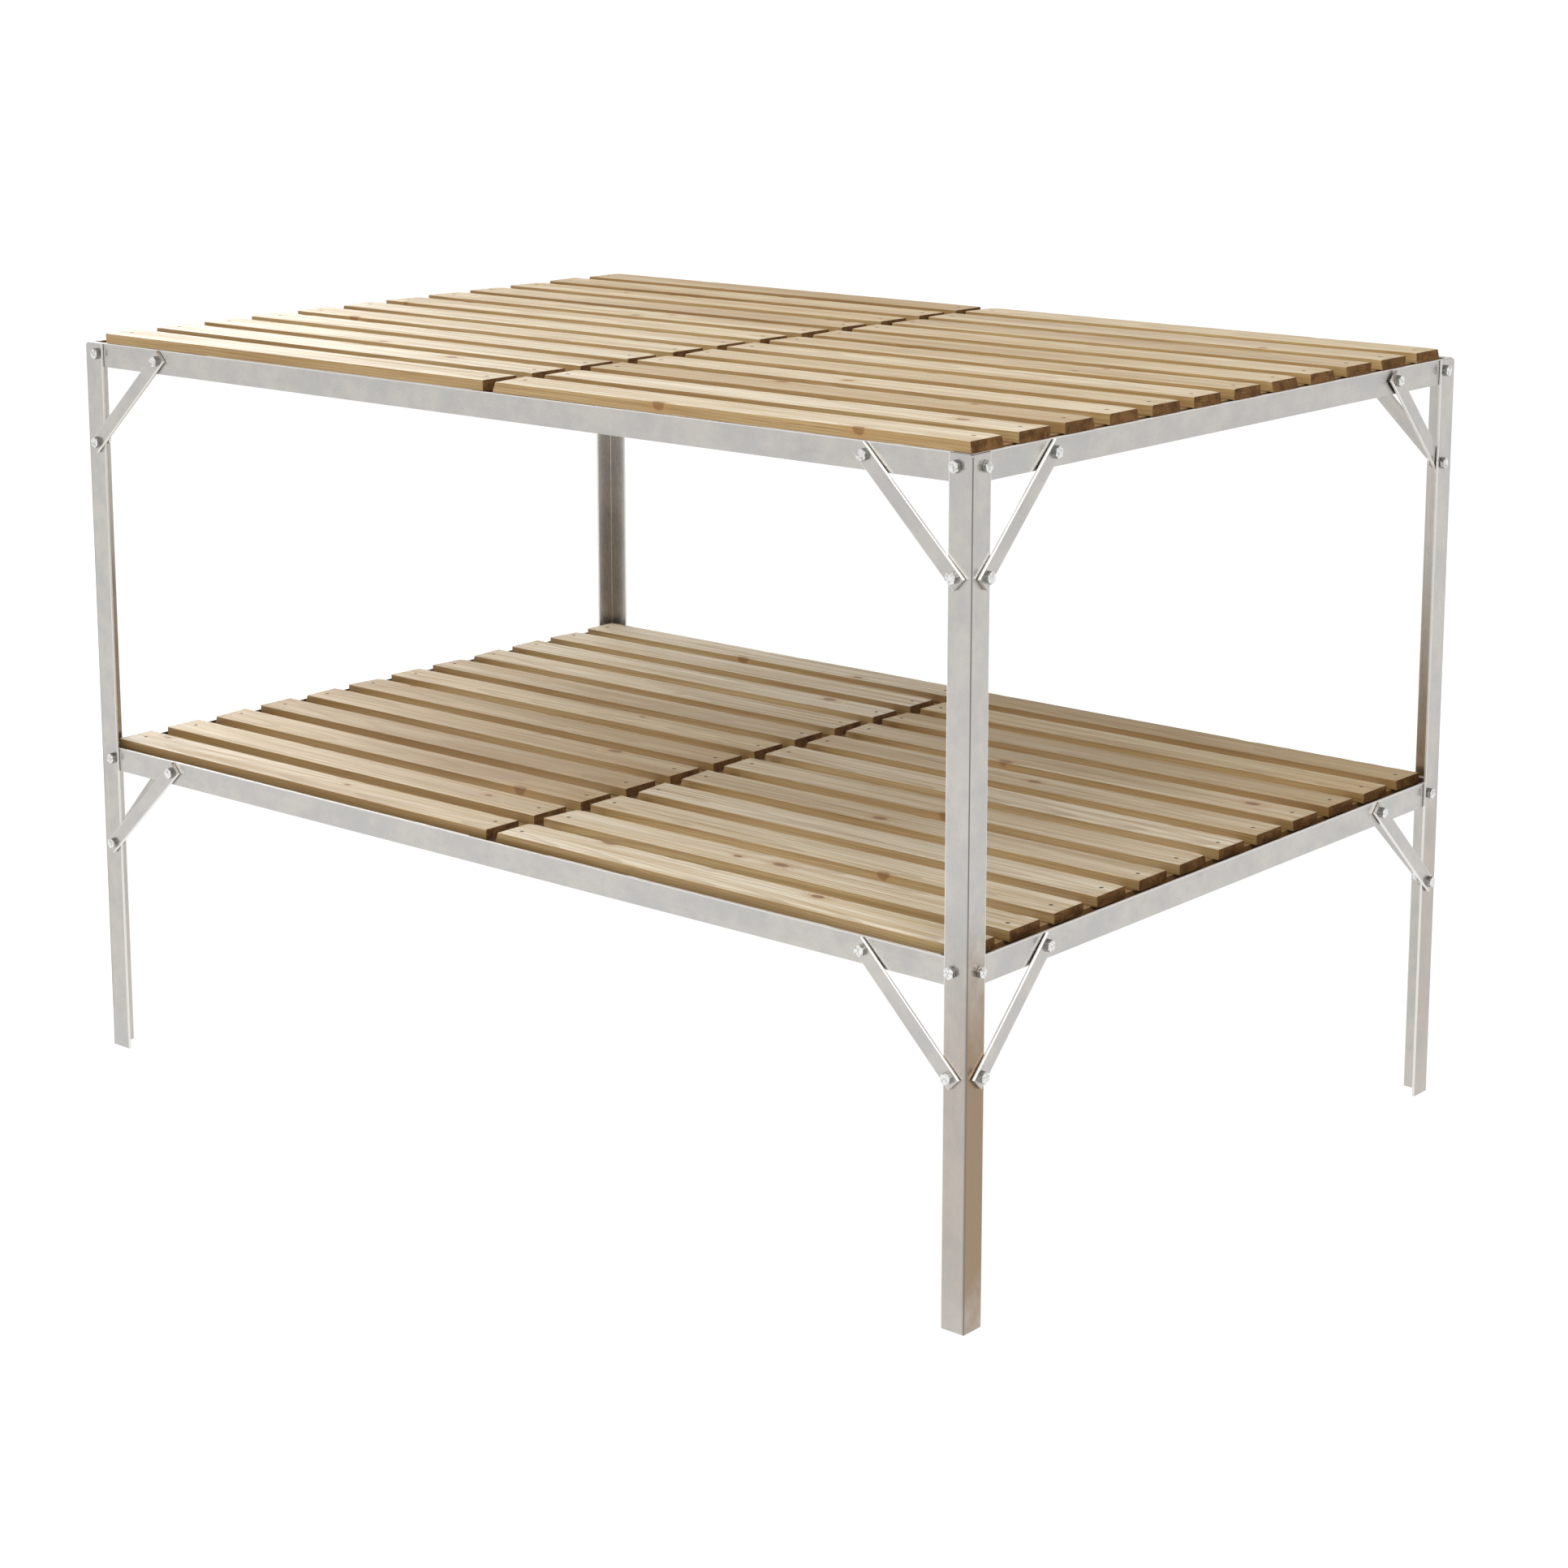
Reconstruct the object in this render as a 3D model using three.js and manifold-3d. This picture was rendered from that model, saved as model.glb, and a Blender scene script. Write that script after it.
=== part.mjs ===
// Two-tier potting bench, in millimetres with +Z up. X runs along the long side,
// -Y is the front, and the origin is on the floor under the middle of the frame.
// The frame is aluminium angle, bolted and braced. Each tier carries two loose
// panels of timber slats nailed to a pair of battens.
import * as THREE from "three";
import { mergeVertices } from "three/addons/utils/BufferGeometryUtils.js";
import Module from "manifold-3d";

const wasm = await Module();
wasm.setup();

// Frame, measured over the outer faces of the legs.
const FRAME_LENGTH = 1170;
const FRAME_DEPTH = 806;
const LEG_HEIGHT = 778;
const SHELF_RAIL_TOP = 339;
const ANGLE_WIDTH = 25.4;
const ANGLE_THICK = 2.5;
const GAP = 0.3;

// Bolts. The inset runs from the leg's outer corner, the drop from the rail's top edge.
const BOLT_INSET = 17.5;
const BOLT_DROP = 11.5;
const SHANK_DIAMETER = 6;
const HOLE_DIAMETER = 6.8;
const HEX_ACROSS_FLATS = 10;
const HEAD_HEIGHT = 4;
const NUT_HEIGHT = 4.5;
const SHANK_TIP = 0.6;
const ROUND_SIDES = 8;
const JOIN = 0.5;

// Diagonal braces: flat bar, square cut, with one bolt near each end.
const BRACE_RUN = 98;
const BRACE_DROP = 94;
const BRACE_WIDTH = 16;
const BRACE_THICK = 3.5;
const BRACE_END = 8.5;

const HALF_LENGTH = FRAME_LENGTH / 2;
const HALF_DEPTH = FRAME_DEPTH / 2;
const RAIL_SET_BACK = ANGLE_THICK + GAP;
const UP = new THREE.Vector3(0, 0, 1);

// The brace at the back of the right-hand end goes behind its leg. These are how far
// the middle of its bar stands out from the leg's face at the leg and at the rail.
const TUCKED_LEG_STAND = -(ANGLE_THICK + GAP + BRACE_THICK / 2 + 0.85);
const TUCKED_RAIL_STAND = GAP + BRACE_THICK / 2 - RAIL_SET_BACK + 1.35;

// How far a corner bolt reaches in from the leg's outer face.
const BOLT_INTRUSION = RAIL_SET_BACK + ANGLE_THICK + GAP + NUT_HEIGHT + SHANK_TIP;

// Slatted panels. The battens stop clear of the corner bolts' nuts.
const SLAT_COUNT = 12;
const SLAT_WIDTH = 45.5;
const SLAT_THICK = 10.5;
const SLATS_SPAN = FRAME_DEPTH - 26;
const SLAT_PITCH = (SLATS_SPAN - SLAT_WIDTH) / (SLAT_COUNT - 1);
const PANEL_SPACING = 13;
const NAIL_INSET = 16;
const BATTEN_WIDTH = 18;
const BATTEN_CLEARANCE = 1.8;
const BATTEN_LENGTH = FRAME_DEPTH - 2 * (BOLT_INTRUSION + BATTEN_CLEARANCE);
const SLAT_OVERHANG = NAIL_INSET - BATTEN_WIDTH / 2;

// The worktop's slats lie on the rails' top edges. The shelf's panels drop inside
// the rails and stand by their battens on the rails' lower ledges. The insets run
// from the legs' outer faces to the slats, and the middle is where the panels meet.
const TIERS = {
  top: {
    railTop: LEG_HEIGHT,
    slatBottom: LEG_HEIGHT + GAP,
    frontInset: 3,
    leftInset: 30,
    rightInset: BOLT_INTRUSION + 0.8 - SLAT_OVERHANG,
    middle: 13,
  },
  shelf: {
    railTop: SHELF_RAIL_TOP,
    slatBottom: SHELF_RAIL_TOP - 3,
    frontInset: 12,
    leftInset: 14,
    rightInset: 14,
    middle: -2.5,
  },
};

const CORNERS = {
  front_left: [-1, -1],
  front_right: [1, -1],
  back_left: [-1, 1],
  back_right: [1, 1],
};

const MATERIALS = {
  aluminium: { color: 0xc9c7c3, roughness: 0.42, metalness: 0.85 },
  zinc: { color: 0xd3d3d1, roughness: 0.3, metalness: 0.9 },
  timber: { color: 0xd6bd96, roughness: 0.78, metalness: 0 },
};

function solidFrom(geometry) {
  const bare = geometry.index ? geometry.toNonIndexed() : geometry.clone();
  bare.deleteAttribute("normal");
  bare.deleteAttribute("uv");
  const merged = mergeVertices(bare, 1e-4);
  const mesh = new wasm.Mesh({
    numProp: 3,
    vertProperties: new Float32Array(merged.attributes.position.array),
    triVerts: new Uint32Array(merged.index.array),
  });
  return new wasm.Manifold(mesh);
}

function geometryFrom(solid) {
  const mesh = solid.getMesh();
  const geometry = new THREE.BufferGeometry();
  geometry.setAttribute("position", new THREE.BufferAttribute(mesh.vertProperties, 3));
  geometry.setIndex(new THREE.BufferAttribute(mesh.triVerts, 1));
  geometry.computeVertexNormals();
  return geometry;
}

// A box between two opposite corners, given in either order.
function block([x0, x1], [y0, y1], [z0, z1]) {
  const size = [x1 - x0, y1 - y0, z1 - z0].map(Math.abs);
  const geometry = new THREE.BoxGeometry(...size);
  geometry.translate((x0 + x1) / 2, (y0 + y1) / 2, (z0 + z1) / 2);
  return solidFrom(geometry);
}

// A prism along local +Z from one height to another, then laid along a direction.
function prism(radius, sides, from, to, start, direction) {
  const geometry = new THREE.CylinderGeometry(radius, radius, to - from, sides);
  geometry.rotateX(Math.PI / 2);
  geometry.translate(0, 0, (from + to) / 2);
  const across = new THREE.Vector3().crossVectors(UP, direction);
  const basis = new THREE.Matrix4().makeBasis(across, UP, direction);
  geometry.applyMatrix4(basis.setPosition(start));
  return solidFrom(geometry);
}

function joined(solids) {
  return solids.reduce((whole, solid) => whole.add(solid));
}

function drilled(solid, holes) {
  return holes.reduce((rest, hole) => rest.subtract(hole), solid);
}

// One vertical face of the frame beside one leg. Positions on it are given by the
// distance along the rail from the leg's outer corner, the height, and how far the
// point stands out from the leg's outer face.
function faceAt([sideX, sideY], run) {
  const long = run === "long";
  const along = new THREE.Vector3(long ? -sideX : 0, long ? 0 : -sideY, 0);
  const outward = new THREE.Vector3(long ? 0 : sideX, long ? sideY : 0, 0);
  const corner = new THREE.Vector3(sideX * HALF_LENGTH, sideY * HALF_DEPTH, 0);
  const inward = outward.clone().negate();
  function point(distance, height, stand) {
    const placed = corner.clone().addScaledVector(along, distance);
    return placed.addScaledVector(outward, stand).setZ(height);
  }
  return { outward, inward, point };
}

function braceReach() {
  return BOLT_INSET + BRACE_RUN;
}

// A hex-headed bolt with its nut, from the underside of the head inwards.
function boltAt(face, distance, height, stand, grip) {
  const start = face.point(distance, height, stand);
  const hexRadius = HEX_ACROSS_FLATS / Math.sqrt(3);
  const shankEnd = grip + NUT_HEIGHT + SHANK_TIP;
  const head = prism(hexRadius, 6, -HEAD_HEIGHT, 0, start, face.inward);
  const shank = prism(SHANK_DIAMETER / 2, ROUND_SIDES, -JOIN, shankEnd, start, face.inward);
  const nut = prism(hexRadius, 6, grip, grip + NUT_HEIGHT, start, face.inward);
  return joined([head, shank, nut]);
}

function holeAt(face, distance, height) {
  const start = face.point(distance, height, 1);
  return prism(HOLE_DIAMETER / 2, ROUND_SIDES, 0, 4 * ANGLE_THICK, start, face.inward);
}

function leg(corner) {
  const [sideX, sideY] = corner;
  const outerX = sideX * HALF_LENGTH;
  const outerY = sideY * HALF_DEPTH;
  const height = [0, LEG_HEIGHT];
  const long = block(
    [outerX, outerX - sideX * ANGLE_WIDTH],
    [outerY, outerY - sideY * ANGLE_THICK],
    height,
  );
  const side = block(
    [outerX, outerX - sideX * ANGLE_THICK],
    [outerY, outerY - sideY * ANGLE_WIDTH],
    height,
  );
  const holes = [];
  for (const run of ["long", "side"]) {
    const face = faceAt(corner, run);
    for (const { railTop } of Object.values(TIERS)) {
      holes.push(holeAt(face, BOLT_INSET, railTop - BOLT_DROP));
      holes.push(holeAt(face, BOLT_INSET, railTop - BOLT_DROP - BRACE_DROP));
    }
  }
  return drilled(long.add(side), holes);
}

// The holes for the corner bolt and the brace bolt at both ends of a rail.
function railHoles(run, ends, railTop) {
  return ends.flatMap((corner) =>
    [BOLT_INSET, braceReach()].map((distance) =>
      holeAt(faceAt(corner, run), distance, railTop - BOLT_DROP),
    ),
  );
}

// A long rail's ledge stops short of its wall's ends, where the end rails' walls stand.
function longRail(sideY, railTop) {
  const wallEnd = HALF_LENGTH - RAIL_SET_BACK;
  const ledgeEnd = wallEnd - ANGLE_THICK - GAP;
  const outerY = sideY * (HALF_DEPTH - RAIL_SET_BACK);
  const bottom = railTop - ANGLE_WIDTH;
  const wall = block(
    [-wallEnd, wallEnd],
    [outerY, outerY - sideY * ANGLE_THICK],
    [bottom, railTop],
  );
  const ledge = block(
    [-ledgeEnd, ledgeEnd],
    [outerY, outerY - sideY * ANGLE_WIDTH],
    [bottom, bottom + ANGLE_THICK],
  );
  const ends = [[-1, sideY], [1, sideY]];
  return drilled(wall.add(ledge), railHoles("long", ends, railTop));
}

// An end rail stops inside the long rails, and its ledge is cut back to clear theirs.
function sideRail(sideX, railTop) {
  const wallEnd = HALF_DEPTH - RAIL_SET_BACK - ANGLE_THICK - GAP;
  const ledgeEnd = HALF_DEPTH - RAIL_SET_BACK - ANGLE_WIDTH - GAP;
  const outerX = sideX * (HALF_LENGTH - RAIL_SET_BACK);
  const bottom = railTop - ANGLE_WIDTH;
  const wall = block(
    [outerX, outerX - sideX * ANGLE_THICK],
    [-wallEnd, wallEnd],
    [bottom, railTop],
  );
  const ledge = block(
    [outerX, outerX - sideX * ANGLE_WIDTH],
    [-ledgeEnd, ledgeEnd],
    [bottom, bottom + ANGLE_THICK],
  );
  const ends = [[sideX, -1], [sideX, 1]];
  return drilled(wall.add(ledge), railHoles("side", ends, railTop));
}

function braceBar(legPoint, railPoint, outward) {
  const lengthwise = railPoint.clone().sub(legPoint);
  const length = lengthwise.length() + 2 * BRACE_END;
  lengthwise.normalize();
  const across = new THREE.Vector3().crossVectors(outward, lengthwise).normalize();
  const through = new THREE.Vector3().crossVectors(lengthwise, across);
  const basis = new THREE.Matrix4().makeBasis(lengthwise, across, through);
  const geometry = new THREE.BoxGeometry(length, BRACE_WIDTH, BRACE_THICK);
  geometry.applyMatrix4(basis.setPosition(legPoint.clone().lerp(railPoint, 0.5)));
  return solidFrom(geometry);
}

// A brace with its two bolts tightened on. It normally lies outside the leg and rail.
function brace(corner, run, railTop) {
  const face = faceAt(corner, run);
  const upper = railTop - BOLT_DROP;
  const lower = upper - BRACE_DROP;
  const stand = GAP + BRACE_THICK / 2;
  const bar = braceBar(
    face.point(BOLT_INSET, lower, stand),
    face.point(braceReach(), upper, stand),
    face.outward,
  );
  const headStand = GAP + BRACE_THICK;
  const legGrip = BRACE_THICK + GAP + ANGLE_THICK + GAP;
  const railGrip = legGrip + RAIL_SET_BACK;
  const legBolt = boltAt(face, BOLT_INSET, lower, headStand, legGrip);
  const railBolt = boltAt(face, braceReach(), upper, headStand, railGrip);
  return joined([bar, legBolt, railBolt]);
}

// The tucked brace starts inside its leg and leans out to pass outside the rail.
function tuckedBrace(corner, run, railTop) {
  const face = faceAt(corner, run);
  const upper = railTop - BOLT_DROP;
  const lower = upper - BRACE_DROP;
  const bar = braceBar(
    face.point(BOLT_INSET, lower, TUCKED_LEG_STAND),
    face.point(braceReach(), upper, TUCKED_RAIL_STAND),
    face.outward,
  );
  const railHeadStand = TUCKED_RAIL_STAND + BRACE_THICK / 2;
  const railGrip = railHeadStand + RAIL_SET_BACK + ANGLE_THICK + GAP;
  const legGrip = GAP - TUCKED_LEG_STAND + BRACE_THICK / 2;
  const legBolt = boltAt(face, BOLT_INSET, lower, GAP, legGrip);
  const railBolt = boltAt(face, braceReach(), upper, railHeadStand, railGrip);
  return joined([bar, legBolt, railBolt]);
}

// The bolt that holds a rail's end to its leg.
function cornerBolt(corner, run, railTop) {
  const grip = GAP + ANGLE_THICK + RAIL_SET_BACK + GAP;
  return boltAt(faceAt(corner, run), BOLT_INSET, railTop - BOLT_DROP, GAP, grip);
}

// Where each of a tier's two panels starts and ends along X.
function panelEnds({ leftInset, rightInset, middle }) {
  return {
    left: [leftInset - HALF_LENGTH, middle - PANEL_SPACING / 2],
    right: [middle + PANEL_SPACING / 2, HALF_LENGTH - rightInset],
  };
}

function panel([left, right], { railTop, slatBottom, frontInset }) {
  const pieces = [];
  for (let index = 0; index < SLAT_COUNT; index += 1) {
    const front = frontInset - HALF_DEPTH + index * SLAT_PITCH;
    const height = [slatBottom, slatBottom + SLAT_THICK];
    pieces.push(block([left, right], [front, front + SLAT_WIDTH], height));
  }
  const battenBottom = railTop - ANGLE_WIDTH + ANGLE_THICK + GAP;
  for (const middle of [left + NAIL_INSET, right - NAIL_INSET]) {
    const width = [middle - BATTEN_WIDTH / 2, middle + BATTEN_WIDTH / 2];
    const length = [-BATTEN_LENGTH / 2, BATTEN_LENGTH / 2];
    pieces.push(block(width, length, [battenBottom, slatBottom + JOIN]));
  }
  return joined(pieces);
}

const bench = new THREE.Group();

function addPiece(parent, name, solid, finish) {
  const material = new THREE.MeshStandardMaterial(MATERIALS[finish]);
  const mesh = new THREE.Mesh(geometryFrom(solid), material);
  mesh.name = name;
  parent.add(mesh);
}

const legs = new THREE.Group();
bench.add(legs);
for (const [cornerName, corner] of Object.entries(CORNERS)) {
  addPiece(legs, `leg_${cornerName}`, leg(corner), "aluminium");
}

for (const [tierName, tier] of Object.entries(TIERS)) {
  const group = new THREE.Group();
  bench.add(group);
  addPiece(group, `rail_${tierName}_front`, longRail(-1, tier.railTop), "aluminium");
  addPiece(group, `rail_${tierName}_back`, longRail(1, tier.railTop), "aluminium");
  addPiece(group, `rail_${tierName}_left`, sideRail(-1, tier.railTop), "aluminium");
  addPiece(group, `rail_${tierName}_right`, sideRail(1, tier.railTop), "aluminium");
  for (const [cornerName, corner] of Object.entries(CORNERS)) {
    for (const run of ["long", "side"]) {
      const tucked = tierName === "top" && cornerName === "back_right" && run === "side";
      const makeBrace = tucked ? tuckedBrace : brace;
      const place = `${tierName}_${cornerName}_${run}`;
      addPiece(group, `brace_${place}`, makeBrace(corner, run, tier.railTop), "aluminium");
      addPiece(group, `bolt_${place}`, cornerBolt(corner, run, tier.railTop), "zinc");
    }
  }
  for (const [side, ends] of Object.entries(panelEnds(tier))) {
    addPiece(group, `panel_${tierName}_${side}`, panel(ends, tier), "timber");
  }
}

export default bench;
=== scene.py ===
"""Two-tier potting bench, dressed for rendering.

An aluminium angle frame is bolted and braced at its corners. Each of its two tiers
carries two loose panels of softwood slats, nailed to a pair of battens. Every workpiece
is modelled in a space of its own, with X along its length, and then laid in place.
"""

import logging
import math
import random
from collections.abc import Callable
from dataclasses import dataclass, field
from enum import Enum

import bmesh
import bpy
from mathutils import Matrix, Vector, noise


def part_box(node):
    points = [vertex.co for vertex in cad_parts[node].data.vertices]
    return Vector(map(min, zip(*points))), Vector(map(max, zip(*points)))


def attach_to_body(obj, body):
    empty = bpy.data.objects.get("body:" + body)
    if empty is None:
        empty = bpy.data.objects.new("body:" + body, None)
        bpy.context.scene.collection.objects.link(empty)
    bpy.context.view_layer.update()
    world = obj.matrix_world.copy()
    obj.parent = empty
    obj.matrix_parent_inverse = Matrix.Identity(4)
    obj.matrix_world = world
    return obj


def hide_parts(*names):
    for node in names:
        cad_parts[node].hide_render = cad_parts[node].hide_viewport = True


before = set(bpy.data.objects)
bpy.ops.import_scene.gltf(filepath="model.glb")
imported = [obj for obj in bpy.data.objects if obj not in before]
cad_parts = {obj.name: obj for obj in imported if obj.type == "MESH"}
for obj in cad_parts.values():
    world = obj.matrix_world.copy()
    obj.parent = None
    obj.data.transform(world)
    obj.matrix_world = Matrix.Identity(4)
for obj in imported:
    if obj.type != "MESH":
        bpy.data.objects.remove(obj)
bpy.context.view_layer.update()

LOG = logging.getLogger("potting_bench")
MM = 0.001
SMOOTH_UNDER = math.radians(34)

Colour = tuple[float, float, float, float]
Socket = bpy.types.NodeSocket


class Slot(Enum):
    """The record's material slots."""

    ALUMINIUM = "aluminium"
    ZINC = "zinc"
    TIMBER = "timber"


class Tier(Enum):
    """The bench's two levels."""

    TOP = "top"
    SHELF = "shelf"


class Half(Enum):
    """The two panels of a tier, and the side of X each is on."""

    LEFT = "left"
    RIGHT = "right"


class Run(Enum):
    """Which way a rail runs: along the bench, or across its end."""

    LONG = "long"
    SIDE = "side"


class Corner(Enum):
    """The four corners, by the signs of their X and Y."""

    FRONT_LEFT = (-1, -1)
    FRONT_RIGHT = (1, -1)
    BACK_LEFT = (-1, 1)
    BACK_RIGHT = (1, 1)

    @property
    def label(self) -> str:
        """The corner's name as the frame's pieces have it."""
        return self.name.lower()


class Cut(Enum):
    """How a timber surface was cut."""

    FACE = "face"
    END = "end"
    EDGE = "edge"


def unit(axis: str) -> Vector:
    """The unit vector of an axis named x, y or z."""
    return Vector([float(axis == name) for name in "xyz"])


def from_columns(*columns: Vector) -> Matrix:
    """A placing matrix with the given vectors as its X, Y, Z and origin."""
    return Matrix([[column[row] for column in columns] for row in range(3)]).to_4x4()


def lengthwise(edge: bmesh.types.BMEdge) -> bool:
    """Whether an edge runs along its workpiece, and not across one of its ends."""
    return abs((edge.verts[0].co - edge.verts[1].co).normalized().x) > 0.9


def draw_out(bm: bmesh.types.BMesh, face: bmesh.types.BMFace, way: tuple) -> bmesh.types.BMFace:
    """Extrudes a face.

    Args:
        bm: The mesh it belongs to.
        face: The face.
        way: Where it goes from its present place.

    Returns:
        The face at the new end.
    """
    grown = bmesh.ops.extrude_face_region(bm, geom=[face])["geom"]
    end = next(part for part in grown if isinstance(part, bmesh.types.BMFace))
    bmesh.ops.translate(bm, vec=way, verts=end.verts)
    return end


def stand(name: str, data: bpy.types.ID) -> bpy.types.Object:
    """Makes an object and puts it in the scene.

    Args:
        name: The object's name.
        data: Its mesh, light or camera.

    Returns:
        The object.
    """
    made = bpy.data.objects.new(name, data)
    bpy.context.scene.collection.objects.link(made)
    return made


class NodeSheet:
    """A material's node tree, with one method for each kind of node that the finishes use."""

    def __init__(self, name: str) -> None:
        """Starts a material with one Principled shader.

        Args:
            name: The material's name.
        """
        self.material = bpy.data.materials.new(name)
        self.material.use_nodes = True
        self.tree = self.material.node_tree
        self.tree.nodes.clear()
        self.shader = self.tree.nodes.new("ShaderNodeBsdfPrincipled")
        output = self.tree.nodes.new("ShaderNodeOutputMaterial")
        self.tree.links.new(self.shader.outputs["BSDF"], output.inputs["Surface"])

    def feed(self, socket: Socket, value: object) -> None:
        """Links a socket to another one, or sets its plain value.

        Args:
            socket: The input to feed.
            value: An output socket, or a number, vector or colour.
        """
        if isinstance(value, Socket):
            self.tree.links.new(value, socket)
        else:
            socket.default_value = value

    def add(self, kind: str, output: object, inputs: dict, **settings: object) -> Socket:
        """Adds a node.

        Args:
            kind: The node's type, without the word that all the types start with.
            output: The output that is wanted, by its name or number.
            inputs: What feeds each input, by the input's name or number.
            **settings: The node's own settings.

        Returns:
            The wanted output.
        """
        node = self.tree.nodes.new(f"ShaderNode{kind}")
        for name, value in settings.items():
            setattr(node, name, value)
        for key, value in inputs.items():
            self.feed(node.inputs[key], value)
        return node.outputs[output]

    def surface(self, **values: object) -> None:
        """Feeds the shader's inputs, named in lower case with underscores for spaces."""
        inputs = {socket.name.lower().replace(" ", "_"): socket for socket in self.shader.inputs}
        for name, value in values.items():
            self.feed(inputs[name], value)

    def attribute(self, name: str) -> Socket:
        """The vector that each point of the mesh holds under a name."""
        return self.add("Attribute", "Vector", {}, attribute_name=name)

    def place(self) -> Socket:
        """Object coordinates."""
        return self.add("TexCoord", "Object", {})

    def vector(self, operation: str, first: object, second: object) -> Socket:
        """Arithmetic on two vectors, by the Vector Math node's operation."""
        return self.add("VectorMath", "Vector", {0: first, 1: second}, operation=operation)

    def scaled(self, vector: object, factor: object) -> Socket:
        """A vector times a number."""
        return self.add("VectorMath", "Vector", {0: vector, "Scale": factor}, operation="SCALE")

    def length(self, vector: Socket) -> Socket:
        """A vector's length."""
        return self.add("VectorMath", "Value", {0: vector}, operation="LENGTH")

    def split(self, vector: Socket) -> tuple[Socket, ...]:
        """A vector's X, Y and Z."""
        return tuple(self.add("SeparateXYZ", 0, {0: vector}).node.outputs)

    def arith(self, operation: str, first: object, second: object = 0.0) -> Socket:
        """Arithmetic on two numbers, by the Math node's operation."""
        return self.add("Math", 0, {0: first, 1: second}, operation=operation)

    def times(self, first: object, second: object) -> Socket:
        """One number times another."""
        return self.arith("MULTIPLY", first, second)

    def plus(self, first: object, second: object, share: float = 1.0) -> Socket:
        """A number plus a share of another."""
        return self.arith("ADD", first, self.times(second, share))

    def past(self, value: Socket, limit: object) -> Socket:
        """How far a number is past a limit, to either side of zero."""
        return self.arith("SUBTRACT", self.arith("ABSOLUTE", value), limit)

    def spread(self, value: Socket, low: float, high: float, to: tuple = (0.0, 1.0)) -> Socket:
        """Maps a number smoothly from one range to another, and holds it at both ends.

        Args:
            value: The number.
            low: Where the range starts.
            high: Where the range ends.
            to: What the start and end of the range become.

        Returns:
            The mapped number.
        """
        inputs = dict(enumerate((value, low, high, *to)))
        return self.add("MapRange", 0, inputs, interpolation_type="SMOOTHSTEP")

    def mottle(
        self, vector: Socket, stretch: tuple, detail: float = 3.0, rough: float = 0.6
    ) -> Socket:
        """Noise with its own frequency along each axis.

        Args:
            vector: Where the noise is read, in metres.
            stretch: Repeats per metre along X, Y and Z.
            detail: Octaves of finer noise.
            rough: How strong the finer octaves are.

        Returns:
            A number from 0 to 1, mostly near the middle.
        """
        inputs = {"Vector": self.vector("MULTIPLY", vector, stretch), "Scale": 1.0}
        return self.add("TexNoise", "Fac", inputs | {"Detail": detail, "Roughness": rough})

    def rings(self, vector: Socket, scale: float, wobble: float, broad: float) -> Socket:
        """Growth rings about the X axis, rising slowly and dropping at once.

        Args:
            vector: Where the rings are read, in metres from the tree's heart.
            scale: Rings per 0.314 m.
            wobble: How far the rings stray, in radians of their own period.
            broad: How fine that straying is.

        Returns:
            A number from 0 to 1.
        """
        inputs = {"Vector": vector, "Scale": scale, "Distortion": wobble, "Detail": 2.0}
        inputs["Detail Scale"] = broad
        ways = {"wave_type": "RINGS", "rings_direction": "X", "wave_profile": "SAW"}
        return self.add("TexWave", "Fac", inputs, **ways)

    def ramp(self, value: Socket, stops: list[tuple[float, Colour]]) -> Socket:
        """Colours along a number.

        Args:
            value: The number.
            stops: Each stop's position and colour, in order.

        Returns:
            The colour.
        """
        shade = self.add("ValToRGB", "Color", {0: value})
        elements = shade.node.color_ramp.elements
        for element, (position, colour) in zip(elements, (stops[0], stops[-1]), strict=True):
            element.position = position
            element.color = colour
        for position, colour in stops[1:-1]:
            elements.new(position).color = colour
        return shade

    def blend(self, share: object, first: object, second: object, way: str = "MIX") -> Socket:
        """Mixes two colours.

        Args:
            share: How much of the second colour there is.
            first: The first colour, or its socket.
            second: The second colour, or its socket.
            way: The Mix node's blend type.

        Returns:
            The mixed colour.
        """
        inputs = {0: share, 6: first, 7: second}
        return self.add("Mix", 2, inputs, data_type="RGBA", blend_type=way)

    def coats(self, colour: Socket, *coats: tuple[Socket, Colour]) -> Socket:
        """Lays colours over one another.

        Args:
            colour: What they are laid on.
            *coats: Each coat's share and colour, in order.

        Returns:
            The colour that shows.
        """
        for share, coat in coats:
            colour = self.blend(share, colour, coat)
        return colour

    def relief(self, height: Socket, depth: float, strength: float) -> Socket:
        """Turns a height from 0 to 1 into a bumped normal, with its depth in metres."""
        inputs = {"Strength": strength, "Distance": depth, "Height": height}
        return self.add("Bump", "Normal", inputs)


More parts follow.
